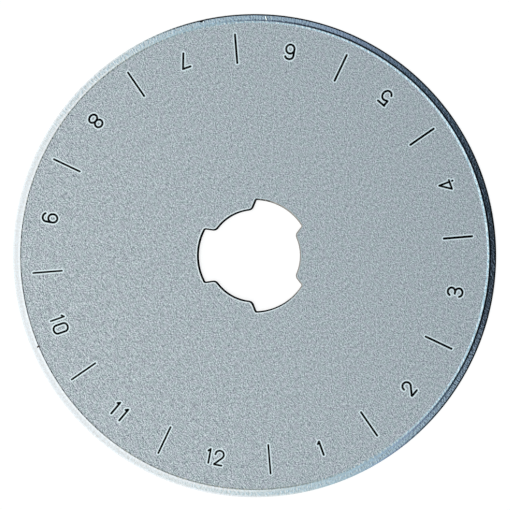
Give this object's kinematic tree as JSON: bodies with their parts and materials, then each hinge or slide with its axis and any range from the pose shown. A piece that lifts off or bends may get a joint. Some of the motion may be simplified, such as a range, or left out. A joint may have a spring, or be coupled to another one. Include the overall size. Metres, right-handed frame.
{
  "type": "rotary cutter blade",
  "caption": "Thin round steel cutting blade, ground to an edge from both faces, with a lobed bore that seats and keys on a cutter's hub.",
  "frame": {"origin": "on the bore's axis, in the plane of the bottom face, on which the blade lies flat", "axes": "+Z along the bore's axis, out of the marked face; one lobe of the bore points along -X"},
  "size_m": [0.045, 0.045, 0.0003],
  "materials": {
    "blade_steel": "fine satin faces, with a brighter ground edge and dark etched index marks"
  },
  "bodies": {
    "root": {"cutter_blade": "blade_steel"}
  },
  "joints": []
}
